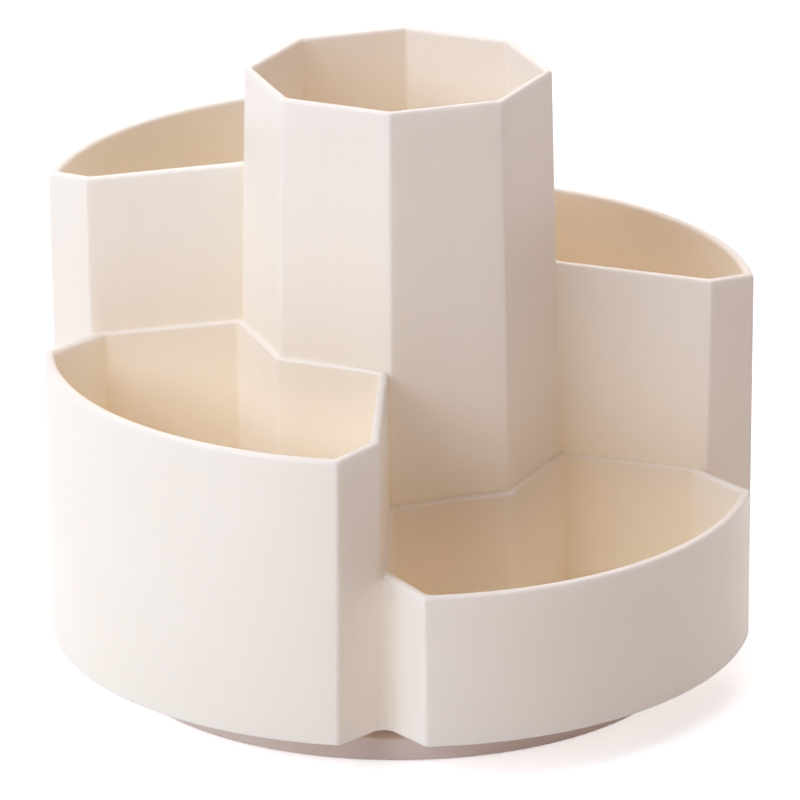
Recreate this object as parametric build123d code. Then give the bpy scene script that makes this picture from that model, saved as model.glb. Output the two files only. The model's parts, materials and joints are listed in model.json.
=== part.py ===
from build123d import *
import math
import os

os.makedirs("parts", exist_ok=True)

# Outside of the organizer body, in millimetres and degrees
body_radius = 75.0
body_bottom = 9.0
outer_draft = 0.1
corner_radius = 1.0
bottom_edge_radius = 0.4
rim_edge_radius = 0.75

# Rim heights at the outer wall; every rim climbs towards the tube
front_right_rim = 41.5
front_left_rim = 70.5
back_right_rim = 83.6
back_left_rim = 104.7
rim_slope = 6.5

# V-shaped notches where two wells meet at the outside, as they are at the bottom
notch_radius = 64.2
notch_half_width = 9.0
notch_root_radius = 2.0
notch_draft = 0.4

# Walls of the wells; a divider's face lies beside its line, towards the higher well
wall = 2.0
well_draft = 0.4
well_corner_radius = 1.0
floor_thickness = 2.5
divider_face_offset = 0.5
ledge_width = 0.9

# Octagonal tube in the middle; the radius is to its corners
tube_height = 130.7
tube_top_radius = 32.1
tube_draft = 1.1
tube_wall = 1.6
bore_draft = 0.3

# Hub of the body, which turns in the base, and the screw boss above it
hub_radius = 8.0
hub_clearance = 0.06
axial_play = 0.05
screw_boss_radius = 6.0
screw_boss_roof = 2.0

# Base plate, a shallow cap with ribs underneath
base_radius = 61.0
base_bottom = 0.4
base_top = 5.3
base_thickness = 2.0
base_skirt = 2.0
base_draft = 2.0
base_edge_radius = 0.5
base_rib_thickness = 1.6
base_rib_count = 12
base_rib_bottom = 1.6

# Turntable bearing
ball_radius = 2.5
ball_count = 12
race_from_base_edge = 15.0
race_clearance = 0.05
cage_thickness = 1.5
cage_half_width = 4.5
cage_pocket_clearance = 0.15

# Pivot screw and its washer
screw_radius = 1.95
screw_fit = 0.03
screw_length = 11.0
screw_tip = 1.0
screw_head_radius = 4.0
screw_head_height = 1.3
screw_head_rounding = 0.5
screw_slot_width = 0.9
screw_slot_length = 4.4
screw_slot_depth = 0.8
washer_radius = 12.0
washer_thickness = 0.8
washer_hole_clearance = 0.15
washer_ring_clearance = 1.5

# Rubber foot pads under the base
pad_count = 6
pad_from_base_edge = 8.0
pad_radius = 5.0
pad_edge_radius = 0.3
pad_seat_depth = 0.8
pad_clearance = 0.1
pad_boss_wall = 1.4

# Wells in order round the tube, anticlockwise from +X seen from above
rim_heights = [back_right_rim, back_left_rim, front_left_rim, front_right_rim]
well_angle = 360 / len(rim_heights)

tube_sides = 8
half_side_angle = 180 / tube_sides
cut_margin = 1.0
match_tolerance = 0.1
highest_rim = max(rim_heights)
floor_top = body_bottom + floor_thickness
race_height = (base_top + body_bottom) / 2
race_radius = base_radius - race_from_base_edge
base_underside = base_top - base_thickness
hub_bottom = base_underside - axial_play
washer_bottom = hub_bottom - washer_thickness
screw_top = washer_bottom + screw_length
pad_circle_radius = base_radius - pad_from_base_edge
pad_first_angle = 180 / base_rib_count

# A notch's faces seen from above: how far they run outwards, and their angle to the divider line
notch_run = math.sqrt(body_radius**2 - notch_half_width**2) - notch_radius
notch_half_angle = math.degrees(math.atan2(notch_half_width, notch_run))


def tangent(angle):
    return math.tan(math.radians(angle))


def sine(angle):
    return math.sin(math.radians(angle))


def cosine(angle):
    return math.cos(math.radians(angle))


def tube_radius_at(height):
    """Corner radius of the tube's outside, which narrows towards the top."""
    face_gain = (tube_height - height) * tangent(tube_draft)
    return tube_top_radius + face_gain / cosine(half_side_angle)


def body_radius_at(height):
    """Radius of the round outer wall, which is widest at the highest rim."""
    return body_radius - (highest_rim - height) * tangent(outer_draft)


def rim_height_at(rim, radius):
    return rim + (body_radius - radius) * tangent(rim_slope)


def mirrored(point):
    """Swap a point from one divider of a well to the other."""
    return (point[1], point[0])


def notch_shift(height):
    """How far a notch's faces have moved outwards at a height."""
    return (height - body_bottom) * tangent(notch_draft)


def notch_radius_at(height):
    return notch_radius + notch_shift(height) / sine(notch_half_angle)


def notch_lean():
    """Direction in which a notch rises."""
    return (notch_radius_at(body_bottom + 1.0) - notch_radius, 0, 1)


def chamfer_point(inset, side_offset):
    """Point on a notch face, moved inwards by inset, at a distance from the divider line."""
    start_x = notch_radius - inset * sine(notch_half_angle)
    start_y = inset * cosine(notch_half_angle)
    return (start_x + (side_offset - start_y) / tangent(notch_half_angle), side_offset)


def chamfer_at_radius(inset, radius):
    """Point where a notch face, moved inwards by inset, reaches a radius."""
    x0, y0 = chamfer_point(inset, 0.0)
    x1, y1 = chamfer_point(inset, 1.0)
    dx, dy = x1 - x0, y1 - y0
    a = dx * dx + dy * dy
    b = x0 * dx + y0 * dy
    c = x0 * x0 + y0 * y0 - radius * radius
    t = (-b + math.sqrt(b * b - a * c)) / a
    return (x0 + t * dx, y0 + t * dy)


def neighbours_lower(index):
    """Whether the wells before and after the given one have lower rims."""
    rim = rim_heights[index]
    before = rim_heights[index - 1]
    after = rim_heights[(index + 1) % len(rim_heights)]
    return before < rim, after < rim


def notch_wedge():
    """Wedge cut out of the outside where two wells meet, longer than the body is high."""
    far_x, far_y = chamfer_point(0.0, body_radius)
    wedge = make_face(Polyline((notch_radius, 0.0), (far_x, -far_y), (far_x, far_y), close=True))
    return Pos(0, 0, body_bottom) * extrude(wedge, amount=tube_height, dir=notch_lean())


def well_outside(index):
    """Solid outside of one well, with its sloping rim and its notch faces."""
    sunk = -divider_face_offset - wall / 2
    first_side, last_side = [divider_face_offset if lower else sunk for lower in neighbours_lower(index)]
    rim = rim_heights[index]
    reach = body_radius + cut_margin
    on_corner = (Align.MIN, Align.MIN, Align.MIN)
    blank = Box(reach - last_side, reach - first_side, rim_height_at(rim, 0.0), align=on_corner)
    inner_radius = tube_top_radius / 2
    envelope = Polyline(
        (inner_radius, body_bottom),
        (body_radius_at(body_bottom), body_bottom),
        (body_radius_at(rim), rim_height_at(rim, body_radius_at(rim))),
        (inner_radius, rim_height_at(rim, inner_radius)),
        close=True,
    )
    turned = revolve(Plane.XZ * make_face(envelope), Axis.Z)
    well = (Pos(last_side, first_side, 0) * blank) & turned
    well -= [notch_wedge(), notch_wedge().rotate(Axis.Z, well_angle)]
    return well.rotate(Axis.Z, index * well_angle)


def well_plan(index, height):
    """Plan of one well's inside at its rim."""
    first_lower, last_lower = neighbours_lower(index)
    higher_side = divider_face_offset + wall
    lower_side = ledge_width - divider_face_offset
    first_offset = higher_side if first_lower else lower_side
    last_offset = higher_side if last_lower else lower_side
    ledge_corner = tube_radius_at(height) + ledge_width / cosine(half_side_angle)
    mid = ledge_corner * cosine(well_angle / 2)
    tube_first = (ledge_corner - first_offset * tangent(half_side_angle), first_offset)
    tube_last = (last_offset, ledge_corner - last_offset * tangent(half_side_angle))
    inner_radius = body_radius_at(height) - wall
    notch_inset = wall - notch_shift(height)
    arc_first = chamfer_at_radius(notch_inset, inner_radius)
    arc_last = mirrored(arc_first)
    arc_mid = inner_radius * cosine(well_angle / 2)
    outline = Polyline(
        arc_last,
        mirrored(chamfer_point(notch_inset, last_offset)),
        tube_last,
        (mid, mid),
        tube_first,
        chamfer_point(notch_inset, first_offset),
        arc_first,
    )
    outer_arc = ThreePointArc(arc_first, (arc_mid, arc_mid), arc_last)
    face = make_face([*outline.edges(), outer_arc])
    return fillet(face.vertices(), well_corner_radius)


def well_inside(index):
    """Hollow of one well, narrowing towards its floor."""
    rim = rim_heights[index]
    top = rim_height_at(rim, tube_radius_at(rim)) + cut_margin
    plan = well_plan(index, rim)
    hollow = extrude(Plane.XY.offset(top) * plan, amount=-(top - floor_top), taper=well_draft)
    return hollow.rotate(Axis.Z, index * well_angle)


def notch_root(index):
    """Web that rounds the root of the notch before the given well, up to the lower rim's rounding."""
    setback = notch_root_radius / tangent(notch_half_angle)
    tip_x = notch_radius + setback * cosine(notch_half_angle)
    tip_y = setback * sine(notch_half_angle)
    root_x = notch_radius + notch_root_radius / sine(notch_half_angle) - notch_root_radius
    arc = ThreePointArc((tip_x, tip_y), (root_x, 0.0), (tip_x, -tip_y))
    back = Polyline((tip_x, -tip_y), (notch_radius, -tip_y), (notch_radius, tip_y), (tip_x, tip_y))
    lower_rim = min(rim_heights[index], rim_heights[index - 1])
    top_x = tip_x + notch_radius_at(lower_rim) - notch_radius
    rise = rim_height_at(lower_rim, top_x) - rim_edge_radius - body_bottom
    lean = notch_lean()
    web = extrude(make_face([arc, *back.edges()]), amount=rise * math.hypot(*lean), dir=lean)
    return Pos(0, 0, body_bottom) * web.rotate(Axis.Z, index * well_angle)


def tube_outside():
    foot = RegularPolygon(tube_radius_at(body_bottom), tube_sides)
    return extrude(Plane.XY.offset(body_bottom) * foot, amount=tube_height - body_bottom, taper=tube_draft)


def tube_bore():
    mouth_radius = tube_top_radius - tube_wall / cosine(half_side_angle)
    mouth = RegularPolygon(mouth_radius, tube_sides)
    mouth = fillet(mouth.vertices(), well_corner_radius)
    return extrude(Plane.XY.offset(tube_height) * mouth, amount=-(tube_height - floor_top), taper=bore_draft)


def disc(radius, bottom, top):
    """Round plate between two heights."""
    return Pos(0, 0, bottom) * extrude(Circle(radius), amount=top - bottom)


def ring(inner_radius, outer_radius, bottom, top):
    return disc(outer_radius, bottom, top) - disc(inner_radius, bottom, top)


def round_the_hub(shape, count, first_angle=0.0):
    """Copies of a shape, evenly spaced about the upright axis."""
    return [shape.rotate(Axis.Z, first_angle + step * 360 / count) for step in range(count)]


def ball_groove():
    """Ring that cuts a ball race, deeper than the balls by the clearance."""
    section = Plane.XZ * Pos(race_radius, race_height) * Circle(ball_radius + race_clearance)
    return revolve(section, Axis.Z)


def upright(direction):
    """Whether a unit vector lies within about 25 degrees of the upright axis."""
    return abs(direction.Z) > 0.9


def upright_corners(body):
    """Upright outside edges: those of the tube, and those beyond the roots of the notches."""
    chosen = []
    for edge in body.edges():
        low, high = sorted((edge @ 0, edge @ 1), key=lambda point: point.Z)
        radius = math.hypot(low.X, low.Y)
        beyond_notch = radius > notch_radius_at(low.Z) + match_tolerance
        tube_gap = abs(radius - tube_radius_at(low.Z))
        on_tube = tube_gap < match_tolerance and low.Z > floor_top + wall
        if upright(edge % 0.5) and edge.length > corner_radius and (beyond_notch or on_tube):
            chosen.append(edge)
    return chosen


def rim_faces(body):
    level = [face for face in body.faces() if upright(face.normal_at(face.center()))]
    return [face for face in level if face.center().Z > floor_top + wall]


def inner_rim_edges(body):
    return [edge for face in rim_faces(body) for wire in face.inner_wires() for edge in wire.edges()]


def outer_rim_edges(body):
    """Long outside edges of the rims, where the wall beside the rim goes down and not up."""
    walls = [face for face in body.faces() if not upright(face.normal_at(face.center()))]
    chosen = []
    for rim in rim_faces(body):
        long_edges = [edge for edge in rim.outer_wire().edges() if edge.length > 2 * corner_radius]
        for edge in long_edges:
            beside = [face for face in walls if any(edge.is_same(other) for other in face.edges())]
            if beside and beside[0].center().Z < (edge @ 0.5).Z:
                chosen.append(edge)
    return chosen


def underside_edges(body):
    lowest = body.faces().sort_by(Axis.Z)[0]
    return lowest.outer_wire().edges()


def organizer_body():
    """One moulding: the tube, four wells round it, and the hub underneath."""
    wells = range(len(rim_heights))
    body = tube_outside() + [well_outside(index) for index in wells]
    body -= [well_inside(index) for index in wells]
    body -= tube_bore()
    body = fillet(upright_corners(body), corner_radius)
    body = fillet(inner_rim_edges(body), rim_edge_radius)
    body = fillet(outer_rim_edges(body), rim_edge_radius)
    body = fillet(underside_edges(body), bottom_edge_radius)
    body += [notch_root(index) for index in wells]
    body += disc(screw_boss_radius, body_bottom, screw_top + screw_boss_roof)
    body += disc(hub_radius, hub_bottom, body_bottom)
    body -= ball_groove()
    body -= disc(screw_radius + screw_fit, hub_bottom, screw_top + screw_fit)
    return body


def base_plate():
    """Round cap under the body, stiffened by ribs, with a seat for each foot pad."""
    top_radius = base_radius - (base_top - base_bottom) * tangent(base_draft)
    bore = hub_radius + hub_clearance
    outline = Polyline(
        (bore, base_underside),
        (bore, base_top),
        (top_radius, base_top),
        (base_radius, base_bottom),
        (base_radius - base_skirt, base_bottom),
        (top_radius - base_skirt, base_underside),
        close=True,
    )
    plate = revolve(Plane.XZ * make_face(outline), Axis.Z)
    outside = top_radius - match_tolerance
    outer_edges = [edge for edge in plate.edges() if edge.bounding_box().max.X > outside]
    plate = fillet(outer_edges, base_edge_radius)

    collar_inside = washer_radius + washer_ring_clearance
    collar_outside = collar_inside + base_rib_thickness
    plate += ring(collar_inside, collar_outside, base_rib_bottom, base_underside)
    plate += ring(race_radius - ball_radius, race_radius + ball_radius, base_rib_bottom, base_underside)
    rib_start = collar_outside - base_rib_thickness / 2
    rib_length = base_radius - base_skirt / 2 - rib_start
    rib = Box(
        rib_length,
        base_rib_thickness,
        base_underside - base_rib_bottom,
        align=(Align.MIN, Align.CENTER, Align.MIN),
    )
    plate += round_the_hub(Pos(rib_start, 0, base_rib_bottom) * rib, base_rib_count)

    seat_radius = pad_radius + pad_clearance
    boss = Pos(pad_circle_radius, 0, 0) * disc(seat_radius + pad_boss_wall, base_bottom, base_underside)
    seat = Pos(pad_circle_radius, 0, 0) * disc(seat_radius, 0.0, base_bottom + pad_seat_depth)
    plate += round_the_hub(boss, pad_count, pad_first_angle)
    plate -= round_the_hub(seat, pad_count, pad_first_angle)
    return plate - ball_groove()


def foot_pad():
    top = base_bottom + pad_seat_depth
    pad = disc(pad_radius, 0.0, top)
    pad = fillet(pad.edges().sort_by(Axis.Z)[0], pad_edge_radius)
    return Pos(pad_circle_radius, 0, 0) * pad


def ball_cage():
    """Flat ring that keeps the balls apart."""
    low = race_height - cage_thickness / 2
    high = race_height + cage_thickness / 2
    cage = ring(race_radius - cage_half_width, race_radius + cage_half_width, low, high)
    pocket = Pos(race_radius, 0, 0) * disc(ball_radius + cage_pocket_clearance, low, high)
    return cage - round_the_hub(pocket, ball_count)


def bearing_ball():
    return Pos(race_radius, 0, race_height) * Sphere(ball_radius)


def pivot_screw():
    """Pan-head screw with a cross slot, put in from below."""
    head_bottom = washer_bottom - screw_head_height
    head = disc(screw_head_radius, head_bottom, washer_bottom)
    head = fillet(head.edges().sort_by(Axis.Z)[0], screw_head_rounding)
    shank = disc(screw_radius, washer_bottom, screw_top)
    shank = chamfer(shank.edges().sort_by(Axis.Z)[-1], screw_tip, screw_tip / 2)
    on_head = (Align.CENTER, Align.CENTER, Align.MIN)
    slot = Box(screw_slot_length, screw_slot_width, screw_slot_depth, align=on_head)
    slot = Pos(0, 0, head_bottom) * slot
    return head + shank - slot - slot.rotate(Axis.Z, 90)


def pivot_washer():
    return ring(screw_radius + washer_hole_clearance, washer_radius, washer_bottom, hub_bottom)


pieces = {
    "organizer_body": organizer_body(),
    "base_plate": base_plate(),
    "ball_cage": ball_cage(),
    "pivot_screw": pivot_screw(),
    "pivot_washer": pivot_washer(),
}
for number, ball in enumerate(round_the_hub(bearing_ball(), ball_count), start=1):
    pieces[f"bearing_ball_{number:02d}"] = ball
for number, pad in enumerate(round_the_hub(foot_pad(), pad_count, pad_first_angle), start=1):
    pieces[f"foot_pad_{number}"] = pad

for name, piece in pieces.items():
    export_step(piece, f"parts/{name}.step")
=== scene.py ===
import json
import math

import bpy
from mathutils import Matrix, Vector

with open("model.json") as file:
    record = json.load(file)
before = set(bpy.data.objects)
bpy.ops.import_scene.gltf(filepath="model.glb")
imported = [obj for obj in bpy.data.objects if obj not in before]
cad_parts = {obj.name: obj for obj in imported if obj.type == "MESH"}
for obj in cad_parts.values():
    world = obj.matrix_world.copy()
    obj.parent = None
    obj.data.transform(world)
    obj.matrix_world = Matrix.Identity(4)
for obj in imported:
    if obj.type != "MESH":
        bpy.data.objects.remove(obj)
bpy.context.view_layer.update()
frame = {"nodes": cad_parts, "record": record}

# Camera at the photograph's viewing angle; angles in degrees, lengths in metres
camera_azimuth = 3.197
camera_elevation = 19.436
camera_roll = -0.354
camera_distance = 1.3576
camera_aim_side = -0.000034
camera_aim_height = 0.0576
camera_reach = 100.0
camera_focal_pixels = 6413.3
picture_pixels = 800
sensor_width_mm = 36.0

# Light goes on bouncing between the pale walls of the wells
wall_bounces = 12

# Floor and backdrop; lengths in metres
floor_size = 8.0
floor_drop = 0.0001
floor_colour = (0.88, 0.88, 0.88)
floor_glow = 0.60
backdrop_colour = (1.0, 1.0, 1.0)
backdrop_glow = 1.0

# Square lamps, all of one size; azimuth from straight in front (left is negative) and elevation in degrees
lamp_distance = 1.3
lamp_size = 0.8
lamps = {
    "key_left": {"azimuth": -72.0, "elevation": 30.0, "watts": 4.0, "colour": (0.7, 0.8, 1.0)},
    "key_front_left": {"azimuth": -42.0, "elevation": 30.0, "watts": 9.3, "colour": (0.82, 0.85, 1.0)},
    "fill_right": {"azimuth": 48.0, "elevation": 25.0, "watts": 1.8, "colour": (1.0, 0.65, 0.7)},
    "top": {"azimuth": 0.0, "elevation": 88.0, "watts": 3.0, "colour": (0.93, 0.95, 1.0)},
    "high_back": {"azimuth": 180.0, "elevation": 50.0, "watts": 5.9, "colour": (1.0, 0.89, 0.89)},
    "high_back_right": {"azimuth": 140.0, "elevation": 50.0, "watts": 3.4, "colour": (1.0, 0.88, 0.9)},
    "high_back_left": {"azimuth": -130.0, "elevation": 60.0, "watts": 3.4, "colour": (1.0, 0.835, 0.775)},
}

# The plastic lets some light through: the share that enters, and how far it goes in metres,
# the same for red, green and blue
glow_share = 0.6
glow_reach = 0.004
glow_radius = (1.0, 1.0, 1.0)

# Colours of the plastics, steel and rubber, as linear values
cream_light = (0.968, 0.888, 0.752)
cream_deep = (0.957, 0.87, 0.73)
# The base is the body's cream plastic made darker and pinker: painted shade for where it sits under the
# body
shaded_base_light = (0.9, 0.77, 0.69)
shaded_base_deep = (0.875, 0.74, 0.66)
nylon_light = (0.80, 0.78, 0.70)
nylon_deep = (0.74, 0.71, 0.62)
steel_bright = (0.74, 0.74, 0.75)
steel_dull = (0.62, 0.62, 0.64)
zinc_bright = (0.66, 0.67, 0.69)
zinc_dull = (0.50, 0.51, 0.52)
rubber_light = (0.040, 0.040, 0.042)
rubber_deep = (0.022, 0.022, 0.024)

# Noises of the finishes: the size of their features in millimetres, and their levels of detail
plastic_clouds = {"size_mm": 26.0, "detail": 3.0}
plastic_flow_lines = {"size_mm": 3.2, "detail": 2.0, "stretch": (1.0, 1.0, 22.0)}
plastic_gloss_patches = {"size_mm": 7.0, "detail": 4.0}
plastic_waviness = {"size_mm": 34.0, "detail": 1.0}
plastic_ripple = {"size_mm": 2.4, "detail": 2.0}
plastic_grain = {"size_mm": 0.42, "detail": 2.0}
nylon_clouds = {"size_mm": 6.0, "detail": 3.0}
nylon_gloss_patches = {"size_mm": 2.0, "detail": 3.0}
nylon_grain = {"size_mm": 0.5, "detail": 2.0}
metal_clouds = {"size_mm": 2.2, "detail": 4.0}
polish_marks = {"size_mm": 0.8, "detail": 3.0}
screw_marks = {"size_mm": 0.35, "detail": 3.0}
washer_marks = {"size_mm": 0.5, "detail": 3.0}
rubber_dust = {"size_mm": 2.8, "detail": 4.0}
rubber_specks = {"size_mm": 0.4, "detail": 2.0}
rubber_gloss_patches = {"size_mm": 1.2, "detail": 3.0}
rubber_pebbles = {"size_mm": 0.45, "detail": 2.0}

# How much a second noise adds to the first
flow_share_of_colour = 0.45
flow_share_of_gloss = 0.6
speck_share_of_dust = 0.5

# How many millimetres the bumps rise
waviness_rise = 0.16
ripple_rise = 0.006
body_grain_rise = 0.0035
base_grain_rise = 0.005
nylon_grain_rise = 0.005
polish_mark_rise = 0.0004
plating_mark_rise = 0.002
pebble_rise = 0.02

# Roughness, from the glossiest patches to the dullest
plastic_roughness = (0.37, 0.47)
nylon_roughness = (0.42, 0.58)
polish_roughness = (0.07, 0.14)
screw_roughness = (0.26, 0.42)
washer_roughness = (0.30, 0.46)
rubber_roughness = (0.68, 0.86)

# Noise textures, and the middle range of their values, which the finishes spread out
noise_roughness = 0.5
noise_low = 0.3
noise_high = 0.7
no_stretch = (1.0, 1.0, 1.0)
mm_per_metre = 1000.0

# The colour sockets of a mix node go by number, because other sockets share their names
mix_first_colour = 6
mix_second_colour = 7
mix_result = 2


def direction(azimuth, elevation):
    """Unit vector from the object towards a place seen at these angles in degrees."""
    turn = math.radians(azimuth)
    rise = math.radians(elevation)
    return Vector((math.sin(turn) * math.cos(rise), -math.cos(turn) * math.cos(rise), math.sin(rise)))


def add_camera():
    back = direction(camera_azimuth, camera_elevation)
    right = direction(camera_azimuth + 90.0, 0.0)
    up = back.cross(right)
    roll = math.radians(camera_roll)
    rolled_right = right * math.cos(roll) + up * math.sin(roll)
    rolled_up = up * math.cos(roll) - right * math.sin(roll)
    aim = right * camera_aim_side + Vector((0.0, 0.0, camera_aim_height))
    data = bpy.data.cameras.new("photo_camera")
    data.sensor_width = sensor_width_mm
    data.lens = camera_focal_pixels / picture_pixels * sensor_width_mm
    data.clip_end = camera_reach
    camera = bpy.data.objects.new("photo_camera", data)
    turned = Matrix((rolled_right, rolled_up, back)).transposed()
    camera.matrix_world = Matrix.Translation(aim + back * camera_distance) @ turned.to_4x4()
    bpy.context.scene.collection.objects.link(camera)
    bpy.context.scene.camera = camera


def add_lamp(name, azimuth, elevation, watts, colour):
    """Soft square lamp that faces the object."""
    towards = direction(azimuth, elevation)
    data = bpy.data.lights.new(name, "AREA")
    data.shape = "SQUARE"
    data.size = lamp_size
    data.energy = watts
    data.color = colour
    lamp = bpy.data.objects.new(name, data)
    lamp.location = towards * lamp_distance + Vector((0.0, 0.0, camera_aim_height))
    lamp.rotation_mode = "QUATERNION"
    lamp.rotation_quaternion = towards.to_track_quat("Z", "Y")
    bpy.context.scene.collection.objects.link(lamp)


def new_tree(owner):
    """Empty node tree of a material or world."""
    owner.use_nodes = True
    tree = owner.node_tree
    tree.nodes.clear()
    return tree


def add_node(tree, kind, inputs=(), **settings):
    """New node; each input takes a plain value, or another node's output socket."""
    made = tree.nodes.new(kind)
    for name, value in settings.items():
        setattr(made, name, value)
    for name, value in dict(inputs).items():
        if isinstance(value, bpy.types.NodeSocket):
            tree.links.new(value, made.inputs[name])
        else:
            made.inputs[name].default_value = value
    return made


def opaque(colour):
    return (*colour, 1.0)


def calculate(tree, operation, first, second):
    """Output of a math node."""
    return add_node(tree, "ShaderNodeMath", {0: first, 1: second}, operation=operation).outputs[0]


def seen_share(tree, glow):
    """A glow for the camera and for mirror-like or clear surfaces, which lights nothing else."""
    rays = add_node(tree, "ShaderNodeLightPath").outputs
    mirrored = calculate(tree, "MAXIMUM", rays["Is Camera Ray"], rays["Is Glossy Ray"])
    seen = calculate(tree, "MAXIMUM", mirrored, rays["Is Transmission Ray"])
    return calculate(tree, "MULTIPLY", seen, glow)


def add_backdrop():
    """Plain white surround that is seen, directly or mirrored, but doesn't light the object."""
    world = bpy.data.worlds.new("studio")
    bpy.context.scene.world = world
    tree = new_tree(world)
    backdrop = add_node(tree, "ShaderNodeBackground", {
        "Color": opaque(backdrop_colour),
        "Strength": seen_share(tree, backdrop_glow),
    })
    add_node(tree, "ShaderNodeOutputWorld", {"Surface": backdrop.outputs[0]})


def add_floor():
    """Plain pale floor; a glow where it is seen makes it white, with a faint shadow."""
    bpy.ops.mesh.primitive_plane_add(size=floor_size, location=(0.0, 0.0, -floor_drop))
    floor = bpy.context.object
    floor.name = "floor"
    material = bpy.data.materials.new("floor_paper")
    tree = new_tree(material)
    paper = add_node(tree, "ShaderNodeBsdfDiffuse", {"Color": opaque(floor_colour)})
    glow = add_node(tree, "ShaderNodeEmission", {"Strength": seen_share(tree, floor_glow)})
    both = add_node(tree, "ShaderNodeAddShader", {0: paper.outputs[0], 1: glow.outputs[0]})
    add_node(tree, "ShaderNodeOutputMaterial", {"Surface": both.outputs[0]})
    floor.data.materials.append(material)


def place(tree, stretch):
    """Coordinates on the object in millimetres, stretched along its axes."""
    coordinates = add_node(tree, "ShaderNodeTexCoord").outputs["Object"]
    scale = tuple(mm_per_metre / length for length in stretch)
    inputs = {"Vector": coordinates, "Scale": scale}
    return add_node(tree, "ShaderNodeMapping", inputs, vector_type="POINT").outputs[0]


def noise(tree, size_mm, detail, stretch=no_stretch):
    """Noise whose features are about size_mm across."""
    return add_node(tree, "ShaderNodeTexNoise", {
        "Vector": place(tree, stretch),
        "Scale": 1.0 / size_mm,
        "Detail": detail,
        "Roughness": noise_roughness,
    }).outputs["Fac"]


def between(tree, factor, low=0.0, high=1.0):
    """A factor's middle range spread between two values."""
    return add_node(tree, "ShaderNodeMapRange", {
        "Value": factor,
        "From Min": noise_low,
        "From Max": noise_high,
        "To Min": low,
        "To Max": high,
    }).outputs[0]


def blend_colours(tree, factor, first, second):
    """Colour that goes from the first to the second over a factor's middle range."""
    mix = add_node(tree, "ShaderNodeMix", {"Factor": between(tree, factor)}, data_type="RGBA")
    mix.inputs[mix_first_colour].default_value = opaque(first)
    mix.inputs[mix_second_colour].default_value = opaque(second)
    return mix.outputs[mix_result]


def add_factors(tree, first, second, share):
    """Sum of two noises, with the second weighed by a share."""
    scaled = calculate(tree, "MULTIPLY", second, share)
    centred = calculate(tree, "ADD", scaled, -share / 2)
    return calculate(tree, "ADD", first, centred)


def bumps(tree, layers):
    """Bump layers on top of each other; each is a height, and how many millimetres it rises."""
    normal = None
    for height, rise_mm in layers:
        bump = add_node(tree, "ShaderNodeBump", {
            "Height": height,
            "Strength": 1.0,
            "Distance": rise_mm / mm_per_metre,
        })
        if normal:
            tree.links.new(normal, bump.inputs["Normal"])
        normal = bump.outputs[0]
    return normal


def finish_material(tree, colour, roughness, normal, **settings):
    surface = add_node(tree, "ShaderNodeBsdfPrincipled", {
        "Base Color": colour,
        "Roughness": roughness,
        "Normal": normal,
        **settings,
    })
    add_node(tree, "ShaderNodeOutputMaterial", {"Surface": surface.outputs[0]})


def moulded_plastic(name, light, deep, grain_rise_mm):
    """Satin moulded plastic: faint clouds and upright flow lines, fine grain, walls not quite flat."""
    material = bpy.data.materials.new(name)
    tree = new_tree(material)
    clouds = noise(tree, **plastic_clouds)
    flow = noise(tree, **plastic_flow_lines)
    tone = add_factors(tree, clouds, flow, flow_share_of_colour)
    colour = blend_colours(tree, tone, deep, light)
    gloss = add_factors(tree, noise(tree, **plastic_gloss_patches), flow, flow_share_of_gloss)
    roughness = between(tree, gloss, *plastic_roughness)
    normal = bumps(tree, [
        (noise(tree, **plastic_waviness), waviness_rise),
        (noise(tree, **plastic_ripple), ripple_rise),
        (noise(tree, **plastic_grain), grain_rise_mm),
    ])
    finish_material(tree, colour, roughness, normal, **{
        "Subsurface Weight": glow_share,
        "Subsurface Radius": glow_radius,
        "Subsurface Scale": glow_reach,
    })
    return material


def nylon(name):
    """Natural nylon: milky, a little uneven, with a fine matt skin."""
    material = bpy.data.materials.new(name)
    tree = new_tree(material)
    colour = blend_colours(tree, noise(tree, **nylon_clouds), nylon_deep, nylon_light)
    roughness = between(tree, noise(tree, **nylon_gloss_patches), *nylon_roughness)
    normal = bumps(tree, [(noise(tree, **nylon_grain), nylon_grain_rise)])
    finish_material(tree, colour, roughness, normal)
    return material


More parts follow.
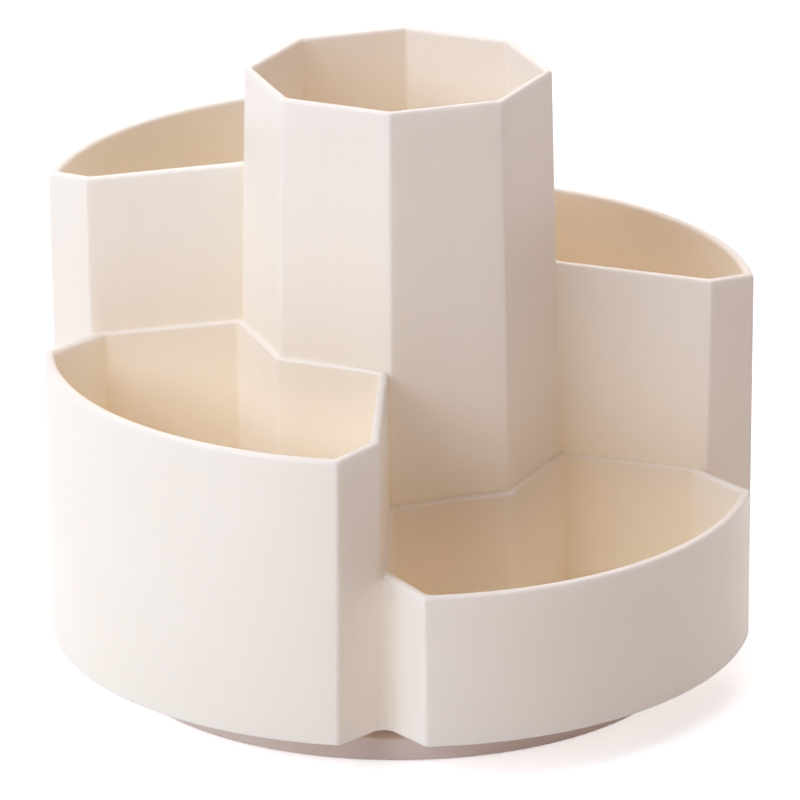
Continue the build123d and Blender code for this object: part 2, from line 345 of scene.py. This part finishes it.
def metal(name, bright, dull, roughness_range, marks, mark_rise_mm):
    """Plated or polished steel with a slightly clouded finish and fine marks."""
    material = bpy.data.materials.new(name)
    tree = new_tree(material)
    colour = blend_colours(tree, noise(tree, **metal_clouds), dull, bright)
    fine_marks = noise(tree, **marks)
    roughness = between(tree, fine_marks, *roughness_range)
    normal = bumps(tree, [(fine_marks, mark_rise_mm)])
    finish_material(tree, colour, roughness, normal, Metallic=1.0)
    return material


def rubber(name):
    """Dark matt rubber with a fine pebbled skin and a little dust."""
    material = bpy.data.materials.new(name)
    tree = new_tree(material)
    specks = noise(tree, **rubber_specks)
    dust = add_factors(tree, noise(tree, **rubber_dust), specks, speck_share_of_dust)
    colour = blend_colours(tree, dust, rubber_deep, rubber_light)
    roughness = between(tree, noise(tree, **rubber_gloss_patches), *rubber_roughness)
    normal = bumps(tree, [(noise(tree, **rubber_pebbles), pebble_rise)])
    finish_material(tree, colour, roughness, normal)
    return material


def dress(node, material):
    """Give a CAD node its material in place of the plain one."""
    mesh = frame["nodes"][node].data
    mesh.materials.clear()
    mesh.materials.append(material)


steel = (steel_bright, steel_dull, polish_roughness, polish_marks, polish_mark_rise)
screw_zinc = (zinc_bright, zinc_dull, screw_roughness, screw_marks, plating_mark_rise)
washer_zinc = (zinc_bright, zinc_dull, washer_roughness, washer_marks, plating_mark_rise)

materials = {
    "body_plastic": moulded_plastic("cream_satin_plastic", cream_light, cream_deep, body_grain_rise),
    "base_plastic": moulded_plastic("shaded_cream_base_plastic", shaded_base_light, shaded_base_deep, base_grain_rise),
    "cage_nylon": nylon("natural_nylon"),
    "ball_steel": metal("polished_bearing_steel", *steel),
    "screw_steel": metal("zinc_plated_screw", *screw_zinc),
    "washer_steel": metal("zinc_plated_washer", *washer_zinc),
    "pad_rubber": rubber("foot_rubber"),
}
for part in frame["record"]["subparts"]:
    dress(part["node"], materials[part["material_slot"]])

add_camera()
add_backdrop()
add_floor()
for lamp_name, lamp_values in lamps.items():
    add_lamp(lamp_name, **lamp_values)

scene = bpy.context.scene
scene.view_settings.view_transform = "Standard"
scene.cycles.max_bounces = wall_bounces
scene.cycles.diffuse_bounces = wall_bounces
